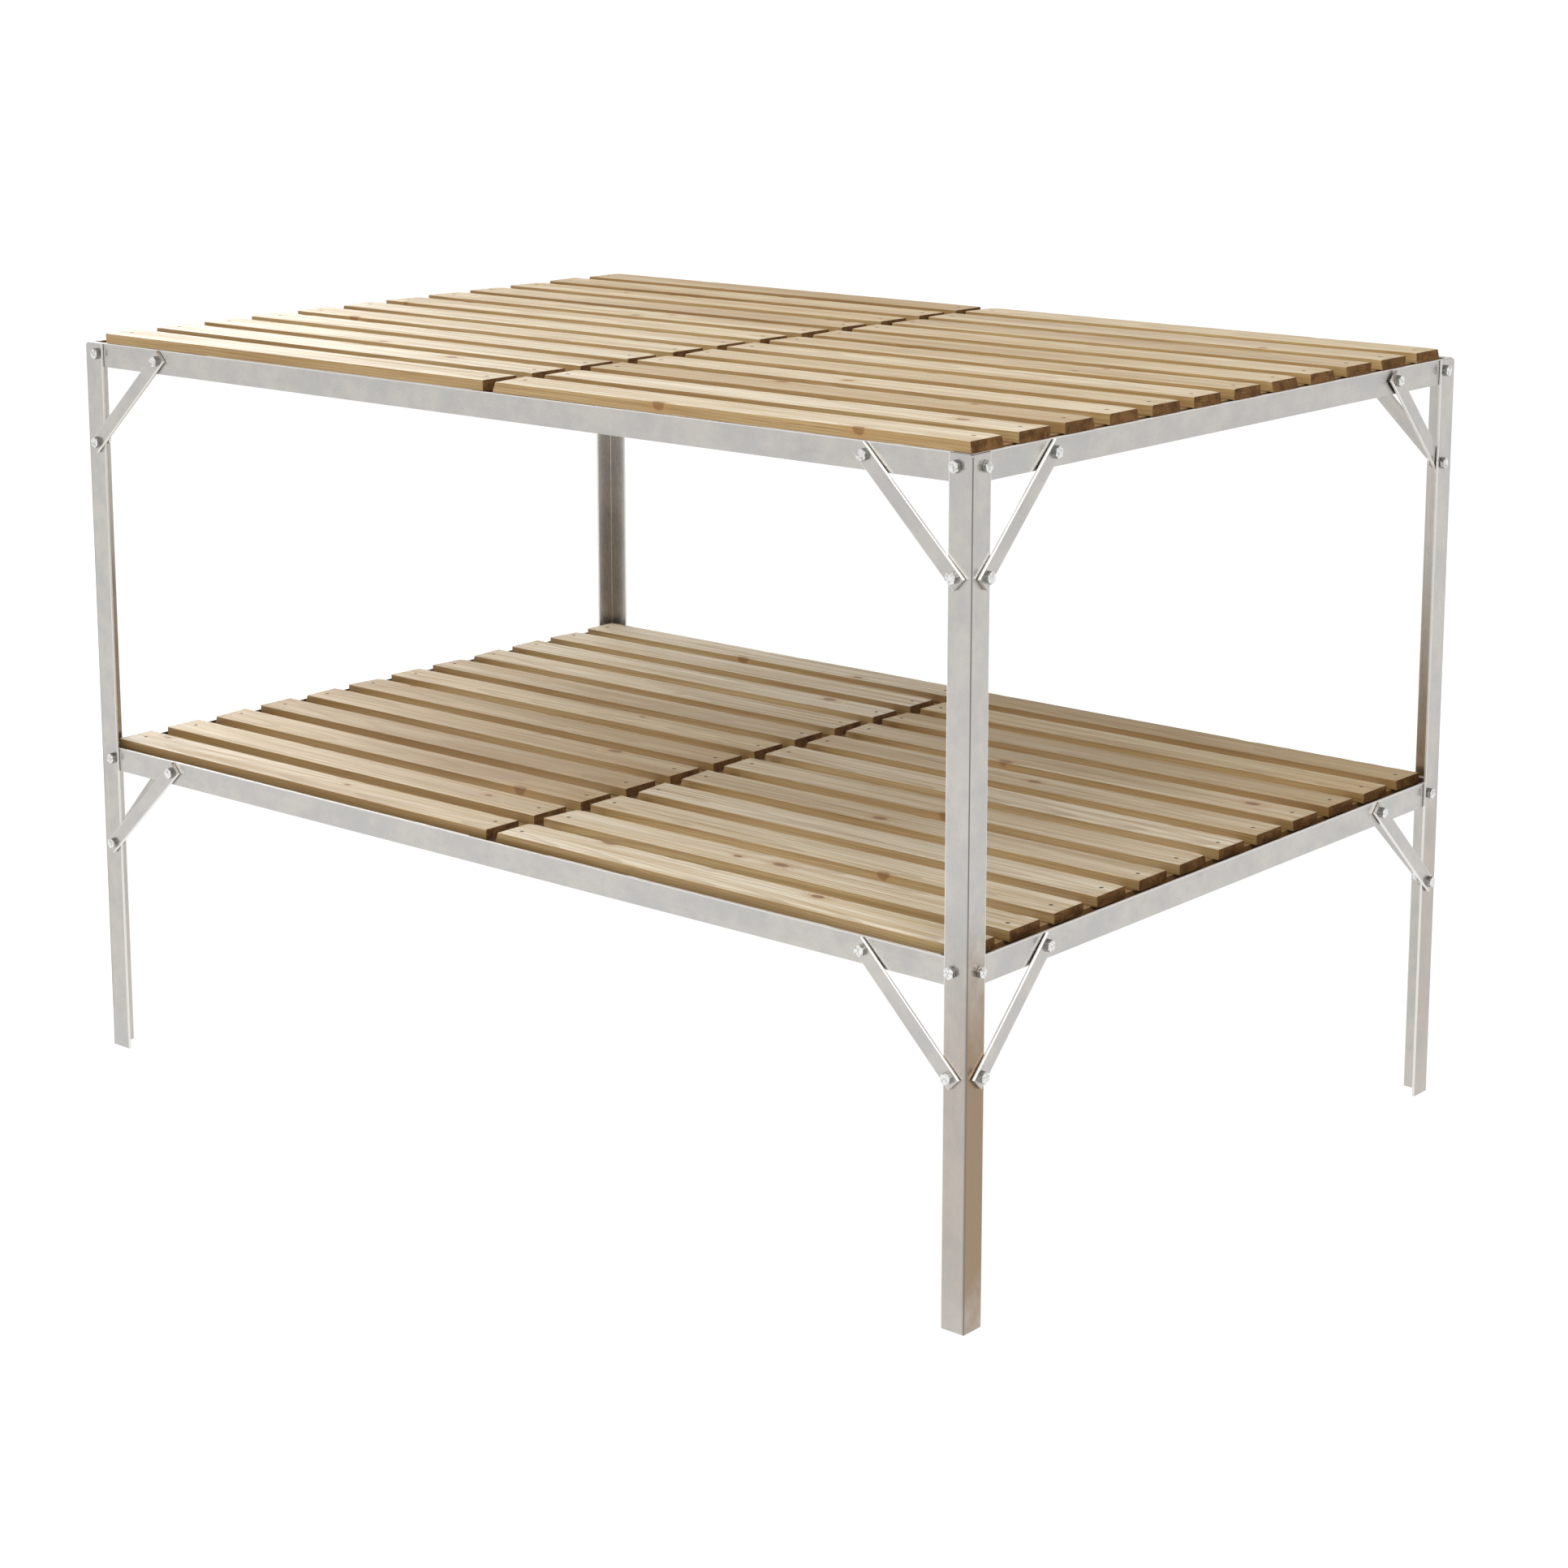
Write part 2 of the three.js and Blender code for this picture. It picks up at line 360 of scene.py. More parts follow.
@dataclass(frozen=True)
class MillAluminium:
    """Bare extruded aluminium: soft clouding, faint die lines and a few dull smudges, with painted
    shade low on the legs, a painted dark reflection along the outer corner and a painted highlight
    on the flange tips and bar sides.
    """

    name: str = "mill_aluminium"
    cool: Colour = (0.475, 0.468, 0.455, 1.0)
    warm: Colour = (0.56, 0.53, 0.495, 1.0)
    smudge: Colour = (0.33, 0.29, 0.25, 1.0)
    tarnish: Colour = (0.31, 0.225, 0.15, 1.0)
    crease: Colour = (0.20, 0.19, 0.18, 1.0)
    edge_highlight: Colour = (0.82, 0.81, 0.79, 1.0)
    flange_edge: tuple = (0.0242, 0.0249)
    bar_edge: tuple = (0.0066, 0.0074)

    def material(self) -> bpy.types.Material:
        """Builds the finish, which reads where each point was on its own workpiece.

        Returns:
            The material.
        """
        sheet = NodeSheet(self.name)
        laid = sheet.attribute("laid")
        along, across, through = sheet.split(laid)
        place = sheet.vector("ADD", laid, sheet.attribute("lot"))
        # Weights of painted light: shade low on the legs, a dark line on the outer corner and a
        # highlight on the bars' long sides.
        low_shade, corner, sheared_and_highlit = sheet.split(sheet.attribute("wear"))
        clouds = sheet.mottle(place, (17.0, 26.0, 26.0), 4.0)
        patches = sheet.mottle(place, (62.0, 62.0, 62.0))
        lines = sheet.mottle(place, (3.0, 900.0, 900.0), 2.0)
        specks = sheet.mottle(place, (170.0, 300.0, 300.0))
        smudges = sheet.mottle(place, (14.0, 42.0, 42.0), 5.0, 0.66)
        shade = sheet.spread(sheet.plus(clouds, patches, 0.6), 0.56, 1.04)
        # Painted shade: brown darkening down the lower half of the flange that faces out along X,
        # strongest at its outer face.
        height = sheet.plus(along, clouds, 0.16)
        low = sheet.times(sheet.spread(height, 0.08, -0.06), low_shade)
        rising = sheet.times(low, sheet.spread(height, -0.34, -0.24, (0.25, 1.0)))
        outer = sheet.spread(across, 0.0004, 0.003, (1.0, 0.3))
        # Painted dark reflection: a thin dark line along the rounded outer corner.
        reach = sheet.arith("ADD", sheet.arith("ABSOLUTE", across), through)
        line = sheet.times(sheet.spread(reach, 0.0011, 0.0006), corner)
        # Painted highlight: pale flange tips and bar sides, which are also rougher as sheared
        # edges.
        flange = sheet.spread(sheet.arith("MAXIMUM", across, through), *self.flange_edge)
        bar = sheet.spread(sheet.arith("ABSOLUTE", across), *self.bar_edge)
        edge = sheet.arith("MAXIMUM", flange, sheet.times(bar, sheared_and_highlit))
        rough = sheet.arith("ADD", sheet.times(clouds, 0.16), 0.05)
        rough = sheet.plus(rough, sheet.spread(lines, 0.3, 0.7, (0.12, 0.18)))
        relief = sheet.arith("ADD", sheet.times(lines, 0.18), clouds)
        sheet.surface(
            base_color=sheet.coats(
                sheet.blend(shade, self.cool, self.warm),
                (sheet.spread(smudges, 0.57, 0.78, (0.0, 0.24)), self.smudge),
                (sheet.spread(specks, 0.62, 0.76, (0.0, 0.22)), self.smudge),
                (sheet.times(rising, outer), self.tarnish),
                (line, self.crease),
                (edge, self.edge_highlight),
            ),
            metallic=1.0,
            roughness=sheet.plus(rough, edge, 0.28),
            normal=sheet.relief(sheet.plus(relief, patches, 0.4), 0.0003, 0.35),
        )
        return sheet.material


@dataclass(frozen=True)
class BrightZinc:
    """Zinc-plated steel: bright and slightly blotched; its darker copy on the hex flats is painted
    shade.
    """

    name: str = "bright_zinc"
    bright: Colour = (0.80, 0.80, 0.79, 1.0)
    dull: Colour = (0.46, 0.45, 0.43, 1.0)

    def material(self) -> bpy.types.Material:
        """Builds the finish, which reads Object coordinates.

        Returns:
            The material.
        """
        sheet = NodeSheet(self.name)
        place = sheet.place()
        blotch = sheet.mottle(place, (420.0, 420.0, 420.0))
        grain = sheet.mottle(place, (2600.0, 2600.0, 2600.0), 2.0, 0.5)
        colour = sheet.blend(sheet.spread(blotch, 0.42, 0.66), self.bright, self.dull)
        sheet.surface(
            base_color=colour,
            metallic=1.0,
            roughness=sheet.spread(blotch, 0.3, 0.7, (0.16, 0.4)),
            normal=sheet.relief(grain, 0.00006, 0.4),
        )
        return sheet.material


@dataclass(frozen=True)
class NailSteel:
    """Dark wire-nail heads with a little rust."""

    name: str = "nail_steel"
    steel: Colour = (0.050, 0.048, 0.050, 1.0)
    rust: Colour = (0.10, 0.055, 0.03, 1.0)

    def material(self) -> bpy.types.Material:
        """Builds the finish, which reads Object coordinates.

        Returns:
            The material.
        """
        sheet = NodeSheet(self.name)
        patches = sheet.mottle(sheet.place(), (700.0, 700.0, 700.0))
        sheet.surface(
            base_color=sheet.blend(sheet.spread(patches, 0.45, 0.6), self.steel, self.rust),
            metallic=sheet.spread(patches, 0.45, 0.6, (0.35, 0.0)),
            roughness=sheet.spread(patches, 0.35, 0.65, (0.5, 0.8)),
            normal=sheet.relief(patches, 0.0001, 0.5),
        )
        return sheet.material


@dataclass(frozen=True)
class Softwood:
    """Sawn softwood: growth rings cut through by each face, fibres, knots and worn edges, with
    painted shade on the narrow sides and a paleness that is partly painted light.
    """

    name: str = "softwood"
    early: Colour = (0.48, 0.36, 0.195, 1.0)
    pale: Colour = (0.58, 0.475, 0.295, 1.0)
    tan: Colour = (0.35, 0.235, 0.105, 1.0)
    late: Colour = (0.21, 0.115, 0.042, 1.0)
    bleached: Colour = (0.69, 0.62, 0.49, 1.0)
    brown: Colour = (0.27, 0.16, 0.065, 1.0)
    edge_tint: Colour = (0.73, 0.61, 0.42, 1.0)
    knot: Colour = (0.15, 0.055, 0.010, 1.0)
    knot_rim: Colour = (0.38, 0.20, 0.06, 1.0)
    end_light: Colour = (0.185, 0.090, 0.029, 1.0)
    end_dark: Colour = (0.070, 0.028, 0.008, 1.0)
    fuzz: Colour = (0.55, 0.46, 0.32, 1.0)
    half_width: float = 0.02275

    def ring_pattern(
        self, sheet: NodeSheet, rounding: float
    ) -> tuple[Socket, list[tuple[Socket, Socket]]]:
        """Growth rings that swell round the piece's two knots.

        Args:
            sheet: The material being built.
            rounding: How far a knot is a ball, at 1, and not a peg through the piece, at 0.

        Returns:
            The rings, and each knot's core and halo.
        """
        place = sheet.attribute("laid")
        drift = sheet.scaled(sheet.attribute("lean"), sheet.split(place)[0])
        heart = sheet.vector("ADD", sheet.attribute("heart"), drift)
        at = sheet.vector("ADD", sheet.vector("MULTIPLY", place, (0.1, 1.0, 1.0)), heart)
        ragged = sheet.mottle(place, (90.0, 160.0, 160.0))
        knots = []
        for name in ("knot_a", "knot_b"):
            centre = sheet.attribute(name)
            radius = sheet.split(centre)[2]
            apart = sheet.vector("SUBTRACT", place, centre)
            reach = sheet.length(sheet.vector("MULTIPLY", apart, (0.55, 1.0, rounding)))
            ratio = sheet.plus(sheet.arith("DIVIDE", reach, radius), ragged, 0.7)
            core = sheet.spread(ratio, 1.45, 1.1)
            halo = sheet.spread(ratio, 3.4, 1.1)
            swell = sheet.times(sheet.times(halo, radius), 1.8)
            at = sheet.vector("ADD", at, sheet.scaled((0.0, 0.35, 1.0), swell))
            knots.append((core, halo))
        return sheet.rings(at, scale=118.0, wobble=7.0, broad=0.22), knots

    def face(self, cut: Cut) -> bpy.types.Material:
        """Builds the finish of the broad faces, or the narrow edges' copy, darker and more golden
        as painted shade.

        Args:
            cut: Which of the two.

        Returns:
            The material.
        """
        is_face = cut is Cut.FACE
        # The narrow edges' copy takes less of the paling and a darker tint: painted shade beside
        # the lit tops.
        shares = (0.0, 1.0, 0.55, 0.75) if is_face else (0.6, 0.35, 0.35, 0.6)
        rounding, palest, streaked, deep = shares
        sheet = NodeSheet(f"{self.name}_{cut.value}")
        place = sheet.attribute("laid")
        loose = sheet.vector("ADD", place, sheet.attribute("lot"))
        tone, pale_and_lit, half_length = sheet.split(sheet.attribute("nature"))
        along, across, _ = sheet.split(place)
        rings, knots = self.ring_pattern(sheet, rounding)
        broad = sheet.mottle(loose, (2.0, 34.0, 34.0), 3.0, 0.55)
        sunned = sheet.mottle(loose, (3.2, 70.0, 70.0), 4.0)
        streaks = sheet.mottle(loose, (4.5, 330.0, 330.0))
        bands = sheet.mottle(loose, (3.0, 150.0, 150.0))
        checks = sheet.mottle(loose, (7.0, 620.0, 620.0), 2.0, 0.5)
        fibres = sheet.mottle(loose, (55.0, 2400.0, 2400.0), 2.0)
        nibbled = sheet.mottle(loose, (70.0, 120.0, 120.0), 3.0, 0.65)
        # Paling of the faces: partly weathering, partly painted light and sheen, weighted by each
        # slat's paleness.
        paling_and_light = sheet.spread(sheet.spread(sunned, 0.34, 0.6), 0.0, 1.0, (0.4 * palest, palest))
        colour = sheet.coats(
            sheet.ramp(broad, [(0.34, self.tan), (0.47, self.early), (0.62, self.pale)]),
            (sheet.times(tone, 0.55), self.brown),
            (sheet.times(paling_and_light, pale_and_lit), self.bleached),
            (sheet.times(sheet.spread(rings, 0.45, 0.97), 0.3), self.late),
            (sheet.spread(streaks, 0.47, 0.68, (0.0, streaked)), self.tan),
            (sheet.spread(bands, 0.47, 0.66, (0.0, 0.55)), self.tan),
            (sheet.spread(checks, 0.6, 0.72, (0.0, 0.6)), self.brown),
            (sheet.spread(fibres, 0.52, 0.75, (0.0, 0.22)), self.late),
        )
        # Painted shade: the narrow sides are tinted darker and more golden.
        if not is_face:
            colour = sheet.blend(1.0, colour, self.edge_tint, "MULTIPLY")
        for core, halo in knots:
            rim = (sheet.times(halo, 0.45), self.knot_rim)
            colour = sheet.coats(colour, rim, (sheet.times(core, deep), self.knot))
        if is_face:
            edge = sheet.plus(sheet.past(across, self.half_width), nibbled, 0.004)
            frayed = sheet.spread(edge, 0.0002, 0.0022, (0.0, 0.5))
            colour = sheet.blend(frayed, colour, self.fuzz)
        end = sheet.plus(sheet.past(along, half_length), nibbled, 0.012)
        colour = sheet.blend(sheet.spread(end, 0.001, 0.008, (0.0, 0.4)), colour, self.brown)
        height = sheet.arith("ADD", sheet.plus(fibres, rings, 0.5), streaks)
        sheet.surface(
            base_color=colour,
            roughness=sheet.spread(streaks, 0.3, 0.7, (0.38, 0.58)),
            specular_ior_level=0.45,
            normal=sheet.relief(height, 0.00022, 0.55),
        )
        return sheet.material

    def end(self) -> bpy.types.Material:
        """Builds the finish of the sawn ends, where the rings show as arcs.

        Returns:
            The material.
        """
        sheet = NodeSheet(f"{self.name}_{Cut.END.value}")
        loose = sheet.vector("ADD", sheet.attribute("laid"), sheet.attribute("lot"))
        tone = sheet.split(sheet.attribute("nature"))[0]
        rings, knots = self.ring_pattern(sheet, 0.0)
        damp = sheet.mottle(loose, (0.0, 55.0, 90.0))
        teeth = sheet.mottle(loose, (0.0, 900.0, 130.0))
        pores = sheet.mottle(loose, (0.0, 2200.0, 2200.0), 2.0)
        colour = sheet.coats(
            sheet.blend(sheet.spread(damp, 0.35, 0.65), self.end_light, self.end_dark),
            (sheet.times(tone, 0.5), self.end_dark),
            (sheet.spread(rings, 0.4, 0.95, (0.0, 0.6)), self.end_dark),
            (sheet.spread(pores, 0.5, 0.75, (0.0, 0.4)), self.brown),
            (sheet.spread(teeth, 0.52, 0.72, (0.0, 0.45)), self.tan),
            *((sheet.times(core, 0.8), self.knot) for core, _ in knots),
        )
        height = sheet.plus(sheet.plus(teeth, pores), rings)
        sheet.surface(
            base_color=colour,
            roughness=sheet.spread(teeth, 0.3, 0.7, (0.75, 0.92)),
            specular_ior_level=0.12,
            normal=sheet.relief(height, 0.0003, 0.6),
        )
        return sheet.material


class Cutter:
    """Everything that is cut out of one workpiece."""

    def __init__(self) -> None:
        """Starts with nothing to cut."""
        self.bm = bmesh.new()

    def bore(self, place: Matrix, radius: float, depth: float) -> None:
        """Adds a round hole.

        Args:
            place: The hole's middle, with Z along it.
            radius: The hole's radius.
            depth: The hole's length.
        """
        bmesh.ops.create_cone(
            self.bm,
            cap_ends=True,
            segments=20,
            radius1=radius,
            radius2=radius,
            depth=depth,
            matrix=place,
        )

    def notch(self, middle: Vector, size: Vector) -> None:
        """Adds a square-cornered cut.

        Args:
            middle: The middle of the cut.
            size: Its size along X, Y and Z.
        """
        place = Matrix.LocRotScale(middle, None, size)
        bmesh.ops.create_cube(self.bm, size=1.0, matrix=place)


class Workpiece:
    """A piece being made in its own space, in metres, before it is laid in place."""

    def __init__(self) -> None:
        """Starts with an empty mesh."""
        self.bm = bmesh.new()

    @classmethod
    def bar(cls, length: float, width: float, thick: float) -> "Workpiece":
        """A plain bar about the origin.

        Args:
            length: Its size along X.
            width: Its size along Y.
            thick: Its size along Z.

        Returns:
            The workpiece.
        """
        piece = cls()
        place = Matrix.LocRotScale(None, None, Vector((length, width, thick)))
        bmesh.ops.create_cube(piece.bm, size=1.0, matrix=place)
        return piece

    @classmethod
    def angle(cls, length: float, width: float, thick: float) -> "Workpiece":
        """A length of equal angle along X, its outer corner on the X axis.

        Args:
            length: Its length.
            width: Each flange's width, along Y and along Z.
            thick: The flanges' thickness.

        Returns:
            The workpiece.
        """
        piece = cls()
        outline = ((0, 0), (width, 0), (width, thick), (thick, thick), (thick, width), (0, width))
        start = -length / 2
        face = piece.bm.faces.new([piece.bm.verts.new((start, y, z)) for y, z in outline])
        draw_out(piece.bm, face, (length, 0, 0))
        bmesh.ops.recalc_face_normals(piece.bm, faces=piece.bm.faces)
        return piece

    def soften(
        self, width: float, segments: int, wanted: Callable[[bmesh.types.BMEdge], bool]
    ) -> None:
        """Rounds chosen edges.

        Args:
            width: How far the rounding reaches from each edge.
            segments: The faces across the rounding.
            wanted: Says whether an edge is rounded.
        """
        bmesh.ops.bevel(
            self.bm,
            geom=[edge for edge in self.bm.edges if wanted(edge)],
            offset=width,
            offset_type="OFFSET",
            segments=segments,
            profile=0.5,
            affect="EDGES",
            material=-1,
            clamp_overlap=True,
        )

    def slice(self, point: Vector, normal: Vector) -> None:
        """Cuts off what lies beyond a plane and closes the cut.

        Args:
            point: A point on the plane.
            normal: The way it faces, towards what is cut off.
        """
        whole = [*self.bm.verts, *self.bm.edges, *self.bm.faces]
        cut = bmesh.ops.bisect_plane(
            self.bm, geom=whole, plane_co=point, plane_no=normal, clear_outer=True
        )
        rim = [part for part in cut["geom_cut"] if isinstance(part, bmesh.types.BMEdge)]
        bmesh.ops.holes_fill(self.bm, edges=rim, sides=0)

    def carve(self, cutter: Cutter) -> None:
        """Takes a cutter's shapes out of the piece.

        Args:
            cutter: What is cut away.
        """
        work, tool = [stand(name, bpy.data.meshes.new(name)) for name in ("work", "tool")]
        self.bm.to_mesh(work.data)
        cutter.bm.to_mesh(tool.data)
        cut = work.modifiers.new("cut", "BOOLEAN")
        cut.operation = "DIFFERENCE"
        cut.solver = "EXACT"
        cut.object = tool
        bpy.context.view_layer.update()
        result = work.evaluated_get(bpy.context.evaluated_depsgraph_get())
        self.bm.clear()
        self.bm.from_mesh(result.to_mesh())
        for made, mesh in ((work, work.data), (tool, tool.data)):
            bpy.data.objects.remove(made)
            bpy.data.meshes.remove(mesh)
        cutter.bm.free()

    def mark(self, **values: Vector) -> None:
        """Writes on every point what the finish reads: its place on the workpiece, and more.

        Args:
            **values: The name and the vector of everything else that is written.
        """
        for name, value in {"laid": None, **values}.items():
            layer = self.bm.verts.layers.float_vector.new(name)
            for vert in self.bm.verts:
                vert[layer] = vert.co if value is None else value

    def lay(self, place: Matrix) -> None:
        """Moves the piece into place, with its faces outwards even if the place is mirrored.

        Args:
            place: Takes the workpiece's space to the bench's.
        """
        bmesh.ops.transform(self.bm, matrix=place, verts=self.bm.verts)
        if place.determinant() < 0:
            bmesh.ops.reverse_faces(self.bm, faces=self.bm.faces)

    def finish(self, name: str, *finishes: bpy.types.Material) -> bpy.types.Object:
        """Shades the piece and makes its object.

        Args:
            name: The object's name.
            *finishes: The materials, in the order of the faces' material numbers.

        Returns:
            The object.
        """
        for face in self.bm.faces:
            face.smooth = True
        for edge in self.bm.edges:
            edge.smooth = edge.is_manifold and edge.calc_face_angle() < SMOOTH_UNDER
        mesh = bpy.data.meshes.new(name)
        self.bm.to_mesh(mesh)
        self.bm.free()
        for finish in finishes:
            mesh.materials.append(finish)
        made = stand(name, mesh)
        weighted = made.modifiers.new("even_shading", "WEIGHTED_NORMAL")
        weighted.keep_sharp = True
        return made


def attach(piece: bpy.types.Object, body: str, slot: Slot, *nodes: str) -> None:
    """Hangs a finished piece on the model.

    Args:
        piece: The piece.
        body: The body it rides on.
        slot: The record's material slot for its finish; not used.
        *nodes: The frame's nodes it stands for.
    """
    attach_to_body(piece, body)
    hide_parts(*nodes)
    LOG.info("%s rides on %s, %d faces", piece.name, body, len(piece.data.polygons))


@dataclass
class Frame:
    """What the aluminium pieces have in common, in metres."""

    angle_width: float = 25.4 * MM
    angle_thick: float = 2.5 * MM
    gap: float = 0.3 * MM
    bolt_inset: float = 17.5 * MM
    bolt_drop: float = 11.5 * MM
    hole_radius: float = 3.4 * MM
    brace_run: float = 98 * MM
    brace_drop: float = 94 * MM
    arris: float = 0.45 * MM
    fillet: float = 1.1 * MM
    chance: random.Random = field(default_factory=lambda: random.Random(411))
    aluminium: bpy.types.Material = field(init=False)
    zinc: bpy.types.Material = field(init=False)
    spanner_flats: bpy.types.Material = field(init=False)

    def __post_init__(self) -> None:
        """Makes the three finishes."""
        self.aluminium = MillAluminium().material()
        self.zinc = BrightZinc().material()
        # A darker copy of the zinc paints shade on the hex flats.
        self.spanner_flats = BrightZinc(
            name="spanner_flats", bright=(0.46, 0.45, 0.43, 1.0), dull=(0.20, 0.19, 0.175, 1.0)
        ).material()

    @property
    def set_back(self) -> float:
        """How far a rail's outer face is behind its leg's."""
        return self.angle_thick + self.gap

    def rail_top(self, tier: Tier) -> float:
        """The height of a tier's rails."""
        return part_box(f"rail_{tier.value}_front")[1].z

    def foot(self, corner: Corner) -> Vector:
        """The place on the floor below a leg's outer corner.

        Args:
            corner: The leg's corner.

        Returns:
            The place.
        """
        low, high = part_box(f"leg_{corner.label}")
        side_x, side_y = corner.value
        return Vector((high.x if side_x > 0 else low.x, high.y if side_y > 0 else low.y, 0))

    def stock(self, length: float) -> Workpiece:
        """A length of the frame's angle, with its corners and arrises rounded.

        Args:
            length: Its length.

        Returns:
            The workpiece.
        """
        piece = Workpiece.angle(length, self.angle_width, self.angle_thick)
        piece.soften(self.fillet, 3, lambda edge: lengthwise(edge) and not edge.is_convex)
        piece.soften(self.arris, 2, lambda edge: edge.calc_face_angle() > 1)
        return piece

    def face_at(self, corner: Corner, run: Run) -> Matrix:
        """The space of one outer face of a leg.

        Args:
            corner: The leg's corner.
            run: Which of the leg's two outer faces.

        Returns:
            A matrix with its origin on the floor at the leg's outer corner, X along the
            rail away from the leg, Y up and Z outwards. It may be mirrored.
        """
        side_x, side_y = corner.value
        along = Vector((-side_x, 0, 0)) if run is Run.LONG else Vector((0, -side_y, 0))
        outward = Vector((0, side_y, 0)) if run is Run.LONG else Vector((side_x, 0, 0))
        return from_columns(along, unit("z"), outward, self.foot(corner))

    def dress(self, piece: Workpiece, node: str, kind: str, place: Matrix, wear: tuple) -> None:
        """Marks an aluminium piece for its finish, lays it and hangs it on the model.

        Args:
            piece: The piece, in its own space.
            node: The frame's node it stands for, which its name starts with.
            kind: What its name ends with.
            place: Takes the workpiece's space to the bench's.
            wear: The painted shade down its low end, the painted dark line along its
            outer corner and the painted highlight on its long sides, each from 0 to 1.
        """
        lot = Vector([self.chance.uniform(-9, 9) for _ in range(3)])
        piece.mark(lot=lot, wear=Vector(wear))
        piece.lay(place)
        made = piece.finish(f"{node}_{kind}", self.aluminium)
        attach(made, "frame", Slot.ALUMINIUM, node)


@dataclass
class Legs:
    """Four lengths of angle, each with its outer corner ground round at the top."""

    common: Frame
    rounding: float = 4.2 * MM
    cuts: tuple = (20, 45, 70)

    def build(self) -> None:
        """Makes the four legs."""
        for corner in Corner:
            piece, place = self.leg(corner)
            # Painted shade down the lower X-facing flange, strongest on the front-right leg, and a
            # painted dark line on every outer corner.
            wear = (1.0 if corner is Corner.FRONT_RIGHT else 0.3, 1.0, 0.0)
            self.common.dress(piece, f"leg_{corner.label}", "angle", place, wear)

    def leg(self, corner: Corner) -> tuple[Workpiece, Matrix]:
        """One leg, with X up along it and its flanges along Y and Z.

        Args:
            corner: The leg's corner.

        Returns:
            The workpiece, and where it goes.
        """
        common = self.common
        low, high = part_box(f"leg_{corner.label}")
        height = high.z - low.z
        piece = common.stock(height)
        self.round_top(piece, height / 2)
        cutter = Cutter()
        inset = common.bolt_inset
        quarter = Matrix.Rotation(math.pi / 2, 4, "X")
        turns = (((inset, 0), Matrix.Identity(4)), ((0, inset), quarter))
        for tier in Tier:
            upper = common.rail_top(tier) - common.bolt_drop - height / 2
            for level in (upper, upper - common.brace_drop):
                for spot, turn in turns:
                    centre = Matrix.Translation((level, *spot)) @ turn
                    cutter.bore(centre, common.hole_radius, 4 * common.angle_thick)
        piece.carve(cutter)
        side_x, side_y = corner.value
        middle = common.foot(corner) + unit("z") * (low.z + height / 2)
        place = from_columns(unit("z"), Vector((-side_x, 0, 0)), Vector((0, -side_y, 0)), middle)
        return piece, place

    def round_top(self, piece: Workpiece, top: float) -> None:
        """Takes the outer corner off the leg's top end in a few flat cuts.

        Args:
            piece: The leg, with X up along it.
            top: The height of its top end in its own space.
        """
        inward = Vector((0, 1, 1)).normalized()
        centre = unit("x") * (top - self.rounding) + inward * self.rounding
        for cut in self.cuts:
            way = unit("x") * math.sin(math.radians(cut)) - inward * math.cos(math.radians(cut))
            piece.slice(centre + way * self.rounding, way)


@dataclass
class Rails:
    """Eight lengths of angle, their ledges turned inwards at the bottom."""

    common: Frame

    def build(self) -> None:
        """Makes the rails of both tiers."""
        sides = (
            ("front", Run.LONG, -1),
            ("back", Run.LONG, 1),
            ("left", Run.SIDE, -1),
            ("right", Run.SIDE, 1),
        )
        for tier in Tier:
            for name, run, side in sides:
                self.rail(f"rail_{tier.value}_{name}", run, side)

    def rail(self, node: str, run: Run, side: int) -> None:
        """Makes one rail.

        Args:
            node: The frame's node it stands for.
            run: Which way it runs.
            side: The sign of the side of the bench it is on.
        """
        common = self.common
        low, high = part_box(node)
        size = high - low
        length = size.x if run is Run.LONG else size.y
        piece = common.stock(length)
        self.trim(piece, run, length)
        if run is Run.LONG:
            along_axis, inward = unit("x"), Vector((0, -side, 0))
            outer = Vector((0, high.y if side > 0 else low.y, low.z))
        else:
            along_axis, inward = unit("y"), Vector((-side, 0, 0))
            outer = Vector((high.x if side > 0 else low.x, 0, low.z))
        place = from_columns(along_axis, inward, unit("z"), outer)
        common.dress(piece, node, "angle", place, (0.0, 0.0, 0.0))

    def trim(self, piece: Workpiece, run: Run, length: float) -> None:
        """Cuts the ledge back at both ends and drills for the bolts.

        Args:
            piece: The rail, with Y inwards and Z up.
            run: Which way it runs.
            length: Its length.
        """
        common = self.common
        if run is Run.LONG:
            shorter = common.angle_thick + common.gap
            set_in = common.set_back
        else:
            shorter = common.angle_width - common.angle_thick
            set_in = common.set_back + common.angle_thick + common.gap
        cutter = Cutter()
        margin = 2 * MM
        deep = common.angle_width
        turn = Matrix.Rotation(math.pi / 2, 4, "X")
        level = common.angle_width - common.bolt_drop
        for end in (-1, 1):
            middle = Vector((end * (length / 2 - shorter / 2 + margin / 2), 0, 0))
            middle.y = common.angle_thick + common.gap / 2 + deep / 2
            cutter.notch(middle, Vector((shorter + margin, deep, 4 * common.angle_thick)))
            for reach in (common.bolt_inset, common.bolt_inset + common.brace_run):
                spot = (end * (length / 2 + set_in - reach), 0, level)
                centre = Matrix.Translation(spot) @ turn
                cutter.bore(centre, common.hole_radius, 3 * common.angle_thick)
        piece.carve(cutter)


